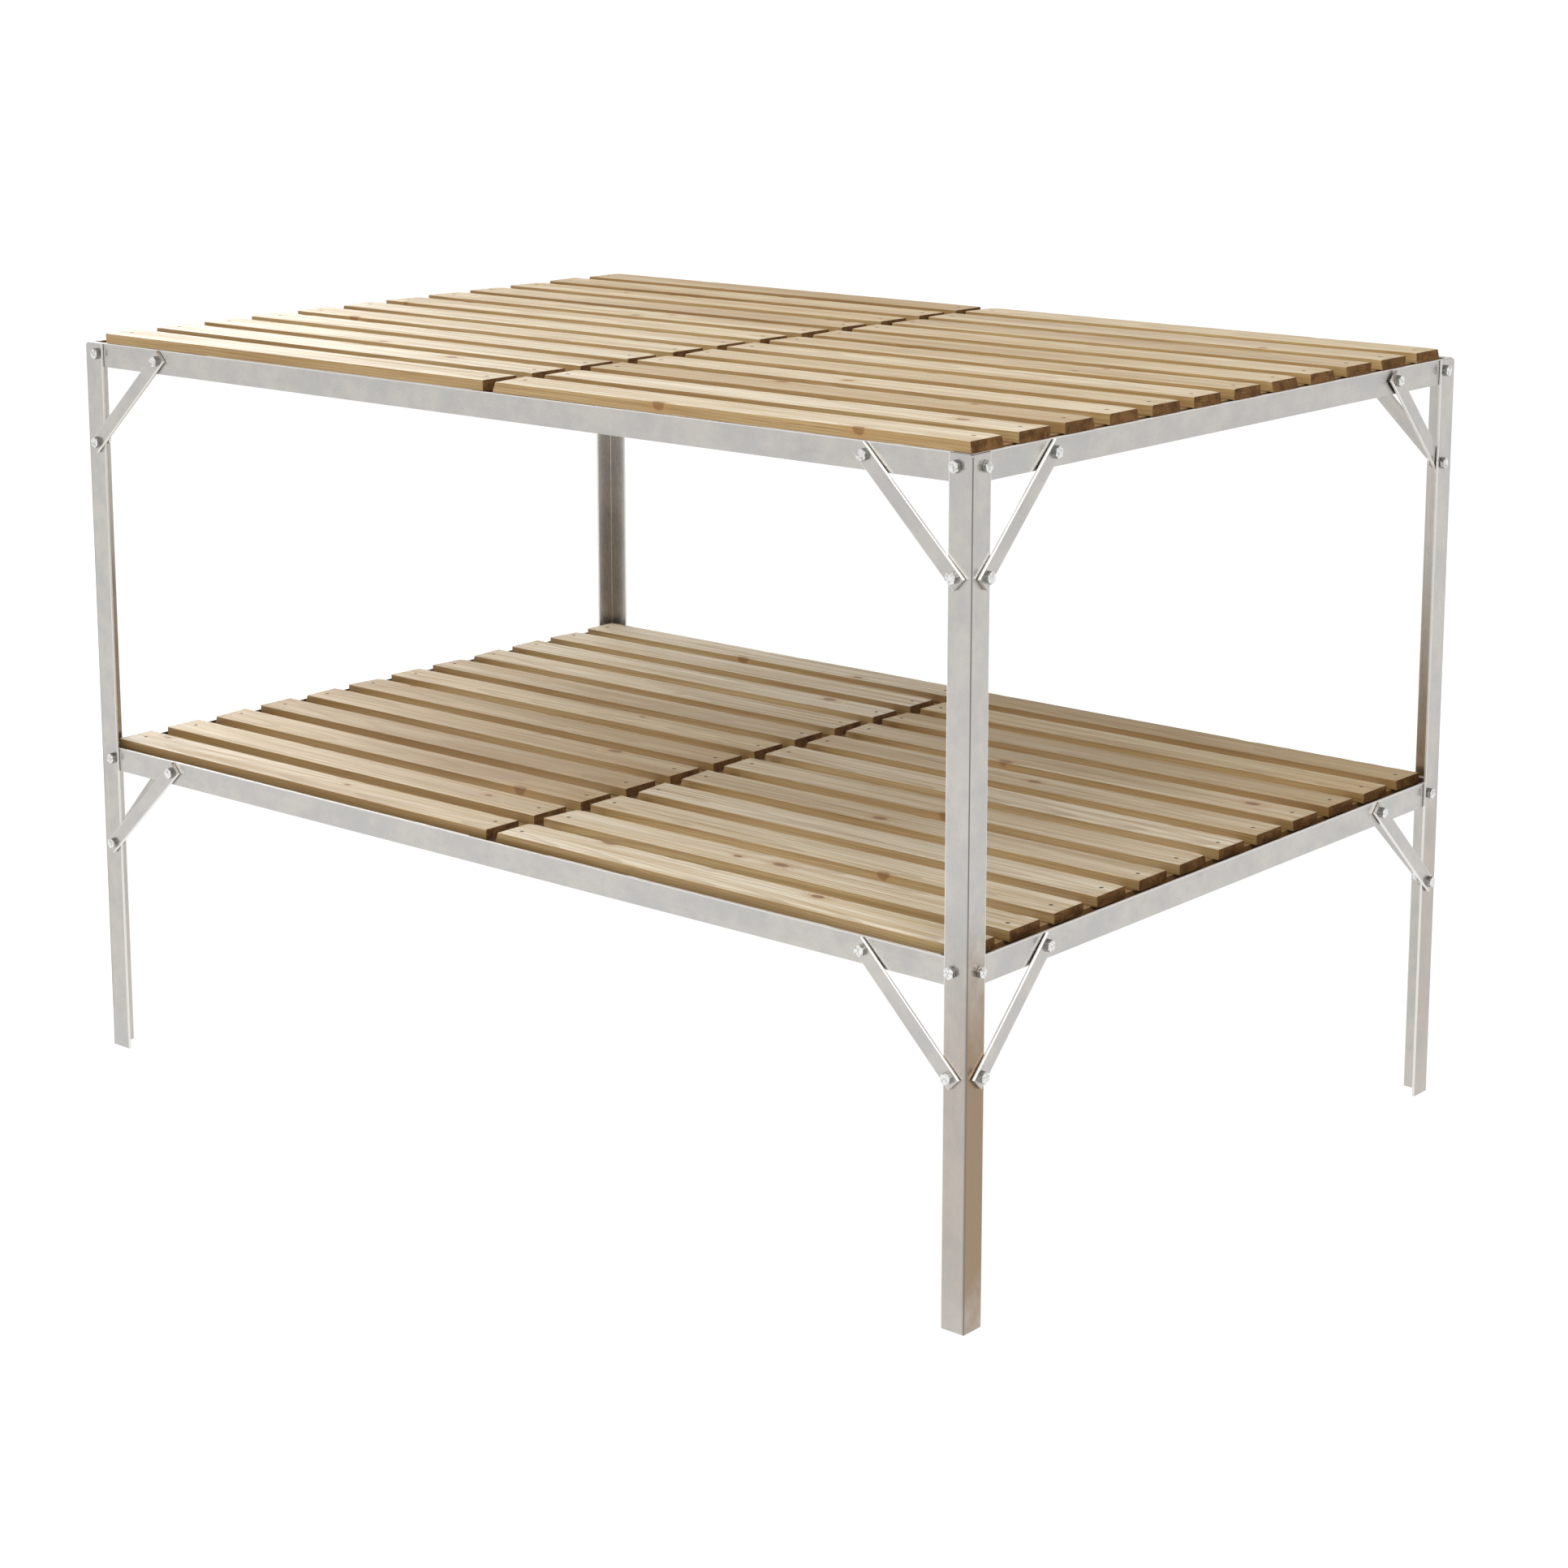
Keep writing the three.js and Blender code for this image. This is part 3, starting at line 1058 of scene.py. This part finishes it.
@dataclass
class Fasteners:
    """Hex-headed bolts with their nuts."""

    common: Frame
    across: float = 10 * MM
    head: float = 4 * MM
    shank_radius: float = 3 * MM
    nut: float = 4.5 * MM
    tip: float = 0.6 * MM
    chamfer_radius: float = 4.55 * MM
    dome: float = 0.25 * MM
    crown_inset: float = 0.5 * MM
    crown_slope: float = math.radians(30)
    dome_inset: float = 1.2 * MM
    rim_inset: float = 0.6 * MM
    point_height: float = 0.4 * MM
    point_radius: float = 2.6 * MM
    nut_play: float = 0.1 * MM
    most_turn: float = math.radians(14.0)

    def ring(self, face: bmesh.types.BMFace, radius: float) -> None:
        """Pulls a face's corners onto a circle about the Z axis.

        Args:
            face: The face.
            radius: The circle's radius.
        """
        for vert in face.verts:
            flat = Vector((vert.co.x, vert.co.y, 0)).normalized() * radius
            vert.co.x, vert.co.y = flat.x, flat.y

    def crown(self, bm: bmesh.types.BMesh, face: bmesh.types.BMFace, way: int) -> None:
        """Chamfers the corners of one end of a hex prism.

        Args:
            bm: The mesh.
            face: The prism's end.
            way: 1 for the end that faces up Z, -1 for the other.
        """
        rim = list(face.verts)
        bmesh.ops.inset_region(
            bm, faces=[face], thickness=self.crown_inset, use_even_offset=True
        )
        self.ring(face, self.chamfer_radius)
        slope = math.tan(self.crown_slope)
        for vert in rim:
            out = Vector((vert.co.x, vert.co.y)).length - self.chamfer_radius
            vert.co.z -= way * out * slope

    def hexagon(
        self, bm: bmesh.types.BMesh, low: float, high: float
    ) -> tuple[bmesh.types.BMFace, bmesh.types.BMFace]:
        """A hex prism along Z, each of its sides in four strips.

        Args:
            bm: The mesh it is added to.
            low: Where it starts.
            high: Where it ends.

        Returns:
            Its bottom and top faces.
        """
        made = bmesh.ops.create_circle(
            bm,
            cap_ends=True,
            segments=6,
            radius=self.across / math.sqrt(3),
            matrix=Matrix.Translation((0, 0, low)),
        )
        edges = {edge for vert in made["verts"] for edge in vert.link_edges}
        bmesh.ops.subdivide_edges(bm, edges=list(edges), cuts=3)
        bottom = next(face for face in bm.faces if not face.tag and len(face.verts) == 24)
        return bottom, draw_out(bm, bottom, (0, 0, high - low))

    def bolt(self, grip: float) -> Workpiece:
        """A bolt and its nut, along Z with the head above the origin.

        Args:
            grip: The distance between the head and the nut.

        Returns:
            The workpiece.
        """
        piece = Workpiece()
        bm = piece.bm
        bottom, top = self.hexagon(bm, 0.0, self.head)
        self.crown(bm, top, 1)
        bmesh.ops.inset_region(bm, faces=[top], thickness=self.dome_inset)
        bmesh.ops.translate(bm, vec=(0, 0, self.dome), verts=top.verts)
        bmesh.ops.inset_region(bm, faces=[bottom], thickness=self.rim_inset)
        self.ring(bottom, self.shank_radius)
        plain = grip + self.nut + self.tip - self.point_height
        for step, radius in ((plain, self.shank_radius), (self.point_height, self.point_radius)):
            end = draw_out(bm, bottom, (0, 0, -step))
            bmesh.ops.delete(bm, geom=[bottom], context="FACES_ONLY")
            bottom = end
            self.ring(bottom, radius)
        for face in bm.faces:
            face.tag = True
        bottom, top = self.hexagon(bm, -grip - self.nut, -grip)
        self.crown(bm, top, 1)
        self.crown(bm, bottom, -1)
        rims = []
        for face in (bottom, top):
            bmesh.ops.inset_region(bm, faces=[face], thickness=self.rim_inset)
            self.ring(face, self.shank_radius + self.nut_play)
            rims += list(face.edges)
        bmesh.ops.delete(bm, geom=[bottom, top], context="FACES_ONLY")
        bmesh.ops.bridge_loops(bm, edges=rims)
        bmesh.ops.recalc_face_normals(bm, faces=bm.faces)
        # The hex flats take the darker zinc: painted shade on the sides of heads and nuts.
        for face in bm.faces:
            from_axis = face.calc_center_median().xy.length
            flat = abs(face.normal.z) < 0.3 and from_axis > self.shank_radius * 1.2
            face.material_index = 1 if flat else 0
        return piece

    def fit(self, name: str, node: str, under: Matrix, grip: float) -> None:
        """Fits a bolt with its nut, turned a little at random.

        Args:
            name: The object's name.
            node: The frame's node it stands for.
            under: The middle of the head's underside, with Z out of the leg's outer face.
            grip: The distance between the head and the nut.
        """
        piece = self.bolt(grip)
        turn = self.common.chance.uniform(-self.most_turn, self.most_turn)
        piece.lay(under @ Matrix.Rotation(turn, 4, "Z"))
        made = piece.finish(name, self.common.zinc, self.common.spanner_flats)
        attach(made, "frame", Slot.ZINC, node)

    def build(self) -> None:
        """Makes the sixteen bolts that hold the rails' ends to the legs."""
        common = self.common
        grip = common.gap + common.angle_thick + common.set_back + common.gap
        for tier in Tier:
            height = common.rail_top(tier) - common.bolt_drop
            for corner in Corner:
                for run in Run:
                    node = f"bolt_{tier.value}_{corner.label}_{run.value}"
                    spot = Matrix.Translation((common.bolt_inset, height, common.gap))
                    self.fit(f"{node}_and_nut", node, common.face_at(corner, run) @ spot, grip)


@dataclass
class Braces:
    """Sixteen diagonal flat bars, each with a bolt through both ends."""

    common: Frame
    fasteners: Fasteners
    width: float = 16 * MM
    thick: float = 3.5 * MM
    beyond: float = 8.5 * MM
    rounding: float = 1.3 * MM
    drawn_in: float = 2.5 * MM
    tucked_leg_stand: float = -5.4 * MM
    tucked_rail_stand: float = 0.6 * MM

    def build(self) -> None:
        """Makes the braces of both tiers."""
        for tier in Tier:
            for corner in Corner:
                for run in Run:
                    self.brace(tier, corner, run)

    def brace(self, tier: Tier, corner: Corner, run: Run) -> None:
        """Makes one brace and its two bolts.

        Args:
            tier: The tier it holds up.
            corner: The corner it is at.
            run: Which of the leg's faces it is on.
        """
        common = self.common
        node = f"brace_{tier.value}_{corner.label}_{run.value}"
        face = common.face_at(corner, run)
        upper = common.rail_top(tier) - common.bolt_drop
        leg_spot = Vector((common.bolt_inset, upper - common.brace_drop, 0))
        rail_spot = Vector((common.bolt_inset + common.brace_run, upper, 0))
        leg_grip = self.thick + common.gap + common.angle_thick + common.gap
        rail_grip = leg_grip + common.set_back - self.drawn_in
        leg_head = common.gap + self.thick
        rail_head = leg_head - self.drawn_in
        leg_spot.z, rail_spot.z = leg_head - self.thick / 2, rail_head - self.thick / 2
        if (tier, corner, run) == (Tier.TOP, Corner.BACK_RIGHT, Run.SIDE):
            leg_spot.z, rail_spot.z = self.tucked_leg_stand, self.tucked_rail_stand
            leg_head, rail_head = common.gap, self.tucked_rail_stand + self.thick / 2
            leg_grip = common.gap - self.tucked_leg_stand + self.thick / 2
            rail_grip = rail_head + common.set_back + common.angle_thick + common.gap
        bar = self.bar(leg_spot, rail_spot)
        along = (rail_spot - leg_spot).normalized()
        across = unit("z").cross(along).normalized()
        middle = (leg_spot + rail_spot) / 2
        place = from_columns(along, across, along.cross(across), middle)
        # The bar's long sides get the painted highlight.
        common.dress(bar, node, "bar", face @ place, (0.0, 0.0, 1.0))
        for end, spot, head, grip in (
            ("leg", leg_spot, leg_head, leg_grip),
            ("rail", rail_spot, rail_head, rail_grip),
        ):
            under = Vector((spot.x, spot.y, head))
            self.fasteners.fit(f"{node}_{end}_bolt", node, face @ Matrix.Translation(under), grip)

    def bar(self, leg_spot: Vector, rail_spot: Vector) -> Workpiece:
        """A square-cut bar about the origin, drilled at both ends.

        Args:
            leg_spot: Where its bolt through the leg is.
            rail_spot: Where its bolt through the rail is.

        Returns:
            The workpiece.
        """
        between = (rail_spot - leg_spot).length
        piece = Workpiece.bar(between + 2 * self.beyond, self.width, self.thick)
        piece.soften(self.rounding, 4, lengthwise)
        cutter = Cutter()
        for end in (-1, 1):
            place = Matrix.Translation((end * between / 2, 0, 0))
            cutter.bore(place, self.common.hole_radius, 3 * self.thick)
        piece.carve(cutter)
        return piece


@dataclass(frozen=True)
class Knot:
    """A knot in a slat, by its distance from the middle and its radius, in metres."""

    along: float
    across: float
    radius: float

    def value(self) -> Vector:
        """The knot as the finish reads it."""
        return Vector((self.along, self.across, self.radius))


# Stands in for the knots that a piece lacks: far off it, and too small to show.
NO_KNOT = Knot(9.0, 9.0, 0.0001)
# The knots that stand out, by the tier, the panel and the slat's number from the front.
KNOTS = {
    (Tier.TOP, Half.RIGHT, 0): (Knot(-0.07, -0.0225, 0.004), Knot(0.16, -0.0225, 0.004)),
    (Tier.TOP, Half.RIGHT, 3): (Knot(-0.03, -0.002, 0.004),),
    (Tier.SHELF, Half.RIGHT, 1): (Knot(0.0, 0.004, 0.005), Knot(-0.05, 0.0, 0.003)),
    (Tier.SHELF, Half.RIGHT, 2): (Knot(0.09, -0.0225, 0.004),),
    (Tier.SHELF, Half.RIGHT, 3): (Knot(0.13, -0.0225, 0.0045),),
    (Tier.SHELF, Half.RIGHT, 5): (Knot(0.01, -0.0225, 0.0065),),
}
# How pale each slat is, from the front to the back: partly weathering and partly painted light,
# pale where the tiers are lit or sheened and low where they are shaded.
PALENESS_AND_LIGHT = {
    (Tier.TOP, Half.LEFT): (0.8, 0.9, 0.7, 0.8, 0.6, 0.7, 0.4, 0.3, 0.25, 0.1, 0.1, 0.0),
    (Tier.TOP, Half.RIGHT): (0.7, 0.95, 0.2, 0.65, 0.3, 0.5, 0.3, 0.2, 0.4, 0.25, 0.45, 0.3),
    (Tier.SHELF, Half.LEFT): (0.5, 0.3, 0.1, 0.0, 0.0, 0.05, 0.15, 0.35, 0.65, 0.85, 0.9, 0.9),
    (Tier.SHELF, Half.RIGHT): (1.0, 0.95, 0.7, 0.85, 0.6, 0.6, 0.85, 0.4, 0.4, 0.1, 0.0, 0.0),
}


@dataclass
class Panel:
    """One loose panel: slats nailed across two battens."""

    tier: Tier
    half: Half
    wood: tuple[bpy.types.Material, ...]
    batten_wood: tuple[bpy.types.Material, ...]
    steel: bpy.types.Material
    chance: random.Random
    slats: int = 12
    slat_width: float = 45.5 * MM
    slat_thick: float = 10.5 * MM
    slats_span: float = 780 * MM
    batten_width: float = 18 * MM
    nail_inset: float = 16 * MM
    nail_radius: float = 1.9 * MM
    nail_head: float = 0.5 * MM
    nail_length: float = 16 * MM
    nail_gap: float = 0.05 * MM
    shank_radius: float = 0.9 * MM
    clearance: float = 0.25 * MM
    countersink: float = 0.9 * MM
    steps: int = 44
    chip_odds: float = 0.45

    @property
    def node(self) -> str:
        """The frame's node and body that the panel stands for."""
        return f"panel_{self.tier.value}_{self.half.value}"

    def build(self) -> None:
        """Makes the panel's slats, battens and nails."""
        low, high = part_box(self.node)
        pitch = (self.slats_span - self.slat_width) / (self.slats - 1)
        middle_z = high.z - self.slat_thick / 2
        nails = Workpiece()
        for index in range(self.slats):
            middle_y = low.y + index * pitch + self.slat_width / 2
            centre = Vector(((low.x + high.x) / 2, middle_y, middle_z))
            piece, heads = self.slat(high.x - low.x, index)
            piece.lay(Matrix.Translation(centre))
            for head in heads:
                self.nail(nails, centre + head)
            self.hang(piece, "slat", f"_{index + 1:02d}", self.wood)
        heights = (low.z, high.z - self.slat_thick)
        for end, middle_x in (
            ("left", low.x + self.nail_inset),
            ("right", high.x - self.nail_inset),
        ):
            piece = self.batten(middle_x, heights, high.y)
            self.hang(piece, "batten", f"_{end}", self.batten_wood)
        self.hang(nails, "nails", "", (self.steel,))

    def hang(self, piece: Workpiece, kind: str, end: str, finishes: tuple) -> None:
        """Finishes one of the panel's pieces and hangs it on the panel's body.

        Args:
            piece: The piece, in its place.
            kind: What it is, which its name starts with.
            end: What its name ends with.
            finishes: Its materials.
        """
        made = piece.finish(f"{kind}_{self.tier.value}_{self.half.value}{end}", *finishes)
        attach(made, self.node, Slot.TIMBER, self.node)

    def dress(
        self, piece: Workpiece, length: float, tone: float, pale_and_lit: float, knots: list[Knot]
    ) -> None:
        """Marks a timber piece for its finish and tells its ends from its faces.

        Args:
            piece: The piece, about the origin with X along it.
            length: Its length.
            tone: How brown it is, from 0 to 1.
            pale_and_lit: How pale its faces are, from 0 to 1: partly weathering, partly painted
                light.
            knots: Its knots, two at most.
        """
        chance = self.chance
        lot = Vector([chance.uniform(-9, 9) for _ in range(3)])
        off_centre = chance.uniform(-30, 30) * MM
        heart = Vector((0, off_centre, chance.choice((-1, 1)) * chance.uniform(12, 60) * MM))
        lean = Vector((0, chance.uniform(-0.03, 0.03), chance.uniform(-0.03, 0.03)))
        nature = Vector((tone, pale_and_lit, length / 2))
        first, second = [knot.value() for knot in (*knots, NO_KNOT, NO_KNOT)][:2]
        piece.mark(lot=lot, heart=heart, lean=lean, nature=nature, knot_a=first, knot_b=second)
        for face in piece.bm.faces:
            upright = 2 if abs(face.normal.y) > 0.72 else 0
            face.material_index = 1 if abs(face.normal.x) > 0.75 else upright

    def slat(self, length: float, index: int) -> tuple[Workpiece, list[Vector]]:
        """One slat about the origin, with worn edges and a countersink over each batten.

        Args:
            length: Its length.
            index: Its number from the front, starting at 0.

        Returns:
            The workpiece, and the places of its two nail heads.
        """
        chance = self.chance
        piece = Workpiece.bar(length, self.slat_width, self.slat_thick)
        piece.soften(chance.uniform(0.7, 1.3) * MM, 2, lengthwise)
        bm = piece.bm
        for step in range(1, self.steps):
            at = Vector(((step / self.steps - 0.5) * length, 0, 0))
            whole = [*bm.verts, *bm.edges, *bm.faces]
            bmesh.ops.bisect_plane(bm, geom=whole, plane_co=at, plane_no=(1, 0, 0))
        self.weather(piece, length)
        heads = []
        cutter = Cutter()
        for end in (-1, 1):
            stray = (chance.uniform(-2.5, 2.5) * MM, chance.uniform(-5, 5) * MM)
            spot = Vector((end * (length / 2 - self.nail_inset) + stray[0], stray[1], 0))
            spot.z = self.slat_thick / 2
            radius = self.nail_radius + self.clearance
            cutter.bore(Matrix.Translation(spot), radius, 2 * self.countersink)
            heads.append(spot - unit("z") * self.countersink * 0.8)
        piece.carve(cutter)
        knots = list(KNOTS.get((self.tier, self.half, index), ()))
        for _ in range(0 if knots else chance.choice((0, 0, 1, 1, 2))):
            knots.append(
                Knot(
                    chance.uniform(-0.46, 0.46) * length,
                    chance.uniform(-0.5, 0.5) * self.slat_width,
                    chance.uniform(2.0, 5.5) * MM,
                )
            )
        # Paleness is partly painted light; where it is low the slat is browner, as painted shade.
        pale_and_lit = PALENESS_AND_LIGHT[self.tier, self.half][index]
        tone = chance.uniform(0, 1) ** 1.3 * (1 - pale_and_lit)
        self.dress(piece, length, tone, pale_and_lit, knots)
        return piece, heads

    def weather(self, piece: Workpiece, length: float) -> None:
        """Bows the slat a little, roughens its edges and knocks chips off its ends.

        Args:
            piece: The slat.
            length: Its length.
        """
        chance = self.chance
        bow = chance.uniform(-0.6, 0.6) * MM
        lot = Vector([chance.uniform(-50, 50) for _ in range(3)])
        inside_y = self.slat_width / 2 - 2 * MM
        chips = [
            (end, side, chance.uniform(0.8, 2.6) * MM)
            for end in (-1, 1)
            for side in (-1, 1)
            if chance.random() < self.chip_odds
        ]
        for vert in piece.bm.verts:
            point = vert.co.copy()
            ragged = noise.noise(Vector((point.x * 45, point.y * 60, point.z * 90)) + lot)
            nick = max(0.0, noise.noise(Vector((point.x * 110, point.y * 60, 0)) - lot) - 0.25)
            shrink = (0.18 + 0.3 * max(ragged, 0) + 1.6 * nick) * MM
            if abs(point.y) > inside_y:
                vert.co.y -= math.copysign(shrink, point.y)
                if point.z > 0:
                    vert.co.z -= shrink * 0.5
            vert.co.y += bow * math.cos(point.x / length * math.pi)
            for end, side, bite in chips:
                near_end = point.x * end > length / 2 - 4 * MM
                if near_end and point.y * side > inside_y and point.z > 0:
                    vert.co.x -= end * bite
                    vert.co.y -= side * bite * 0.5
                    vert.co.z -= bite * 0.3

    def nail(self, nails: Workpiece, top: Vector) -> None:
        """Adds one nail: a flat head on a thin shank.

        Args:
            nails: The workpiece that holds the panel's nails.
            top: The middle of the head's underside.
        """
        for radius, depth, rise in (
            (self.nail_radius, self.nail_head, self.nail_head / 2),
            (self.shank_radius, self.nail_length, -self.nail_length / 2 - self.nail_gap),
        ):
            bmesh.ops.create_cone(
                nails.bm,
                cap_ends=True,
                segments=12,
                radius1=radius,
                radius2=radius * 0.94,
                depth=depth,
                matrix=Matrix.Translation(top + unit("z") * rise),
            )

    def batten(self, middle_x: float, heights: tuple[float, float], end_y: float) -> Workpiece:
        """One batten under the slats' ends.

        Args:
            middle_x: Its middle along the bench.
            heights: The heights of its bottom and top.
            end_y: How far it reaches to the back and to the front.

        Returns:
            The workpiece, in the bench's space.
        """
        low, high = heights
        length = 2 * end_y
        piece = Workpiece.bar(length, self.batten_width, high - low)
        piece.soften(0.8 * MM, 2, lambda edge: True)
        self.dress(piece, length, self.chance.uniform(0.2, 0.8), 0.0, [])
        turn = Matrix.Rotation(math.pi / 2, 4, "Z")
        piece.lay(Matrix.Translation((middle_x, 0, (low + high) / 2)) @ turn)
        return piece


@dataclass(frozen=True)
class Lamp:
    """A square soft light: its place, what it faces, its side in metres and its watts."""

    name: str
    place: tuple
    target: tuple
    side: float
    power: float

    def build(self) -> None:
        """Puts the light up."""
        light = bpy.data.lights.new(self.name, "AREA")
        light.size = self.side
        light.energy = self.power
        made = stand(self.name, light)
        made.location = self.place
        made.visible_camera = False
        way = Vector(self.target) - Vector(self.place)
        made.rotation_euler = way.to_track_quat("-Z", "Y").to_euler()


@dataclass
class Studio:
    """A pale glowing floor, soft light and the camera."""

    floor_size: float = 300.0
    floor_colour: Colour = (0.12, 0.12, 0.12, 1.0)
    floor_glow: float = 0.93
    white: Colour = (1.0, 1.0, 1.0, 1.0)
    sky: float = 0.63
    lamps: tuple[Lamp, ...] = (
        Lamp("key", (-3.2, 1.3, 1.9), (0.0, 0.0, 0.7), 1.8, 36.0),
        Lamp("fill", (1.6, -1.8, 3.0), (0.1, 0.0, 0.4), 2.4, 78.0),
        Lamp("left", (-2.2, -0.6, 3.0), (0.0, 0.0, 0.7), 1.8, 45.0),
    )
    camera_place: tuple = (2.19478, -2.55097, 1.21086)
    heading: float = 0.7141
    dip: float = 0.1921
    roll: float = -0.0025
    lens: float = 75.28
    shift: tuple = (0.0259, -0.1429)

    def build(self) -> None:
        """Makes the floor, the lights and the camera."""
        self.floor()
        for lamp in self.lamps:
            lamp.build()
        world = bpy.data.worlds.new("studio")
        bpy.context.scene.world = world
        world.use_nodes = True
        sky = world.node_tree.nodes["Background"]
        sky.inputs["Color"].default_value = self.white
        sky.inputs["Strength"].default_value = self.sky
        bpy.context.scene.view_settings.view_transform = "Standard"
        self.camera()

    def floor(self) -> None:
        """Lays the floor."""
        mesh = bpy.data.meshes.new("floor")
        bm = bmesh.new()
        bmesh.ops.create_grid(bm, x_segments=1, y_segments=1, size=self.floor_size / 2)
        bm.to_mesh(mesh)
        bm.free()
        sheet = NodeSheet("pale_floor")
        sheet.surface(
            base_color=self.floor_colour,
            roughness=0.9,
            emission_color=self.white,
            emission_strength=self.floor_glow,
        )
        mesh.materials.append(sheet.material)
        stand("floor", mesh)

    def camera(self) -> None:
        """Sets up the camera, which is turned, dipped and rolled, in radians."""
        lens = bpy.data.cameras.new("camera")
        lens.sensor_width = 36.0
        lens.lens = self.lens
        lens.shift_x, lens.shift_y = self.shift
        made = stand("camera", lens)
        turns = ((self.heading, "Z"), (math.pi / 2 - self.dip, "X"), (self.roll, "Z"))
        place = Matrix.Translation(self.camera_place)
        for angle, axis in turns:
            place @= Matrix.Rotation(angle, 4, axis)
        made.matrix_world = place
        bpy.context.scene.camera = made


def main() -> None:
    """Builds the bench and its surroundings in order."""
    logging.basicConfig(level=logging.INFO, format="%(message)s")
    Studio().build()
    common = Frame()
    Legs(common).build()
    Rails(common).build()
    fasteners = Fasteners(common)
    fasteners.build()
    Braces(common, fasteners).build()
    slat_wood = Softwood()
    batten_wood = Softwood(
        name="batten_softwood",
        early=(0.27, 0.185, 0.095, 1.0),
        pale=(0.33, 0.235, 0.13, 1.0),
        tan=(0.20, 0.125, 0.06, 1.0),
    )
    steel = NailSteel().material()
    woods = [
        (wood.face(Cut.FACE), wood.end(), wood.face(Cut.EDGE)) for wood in (slat_wood, batten_wood)
    ]
    for number, tier in enumerate(Tier):
        for half in Half:
            chance = random.Random(f"{tier.value} {half.value} {number}")
            Panel(tier, half, *woods, steel, chance).build()


if __name__ == "__main__":
    main()
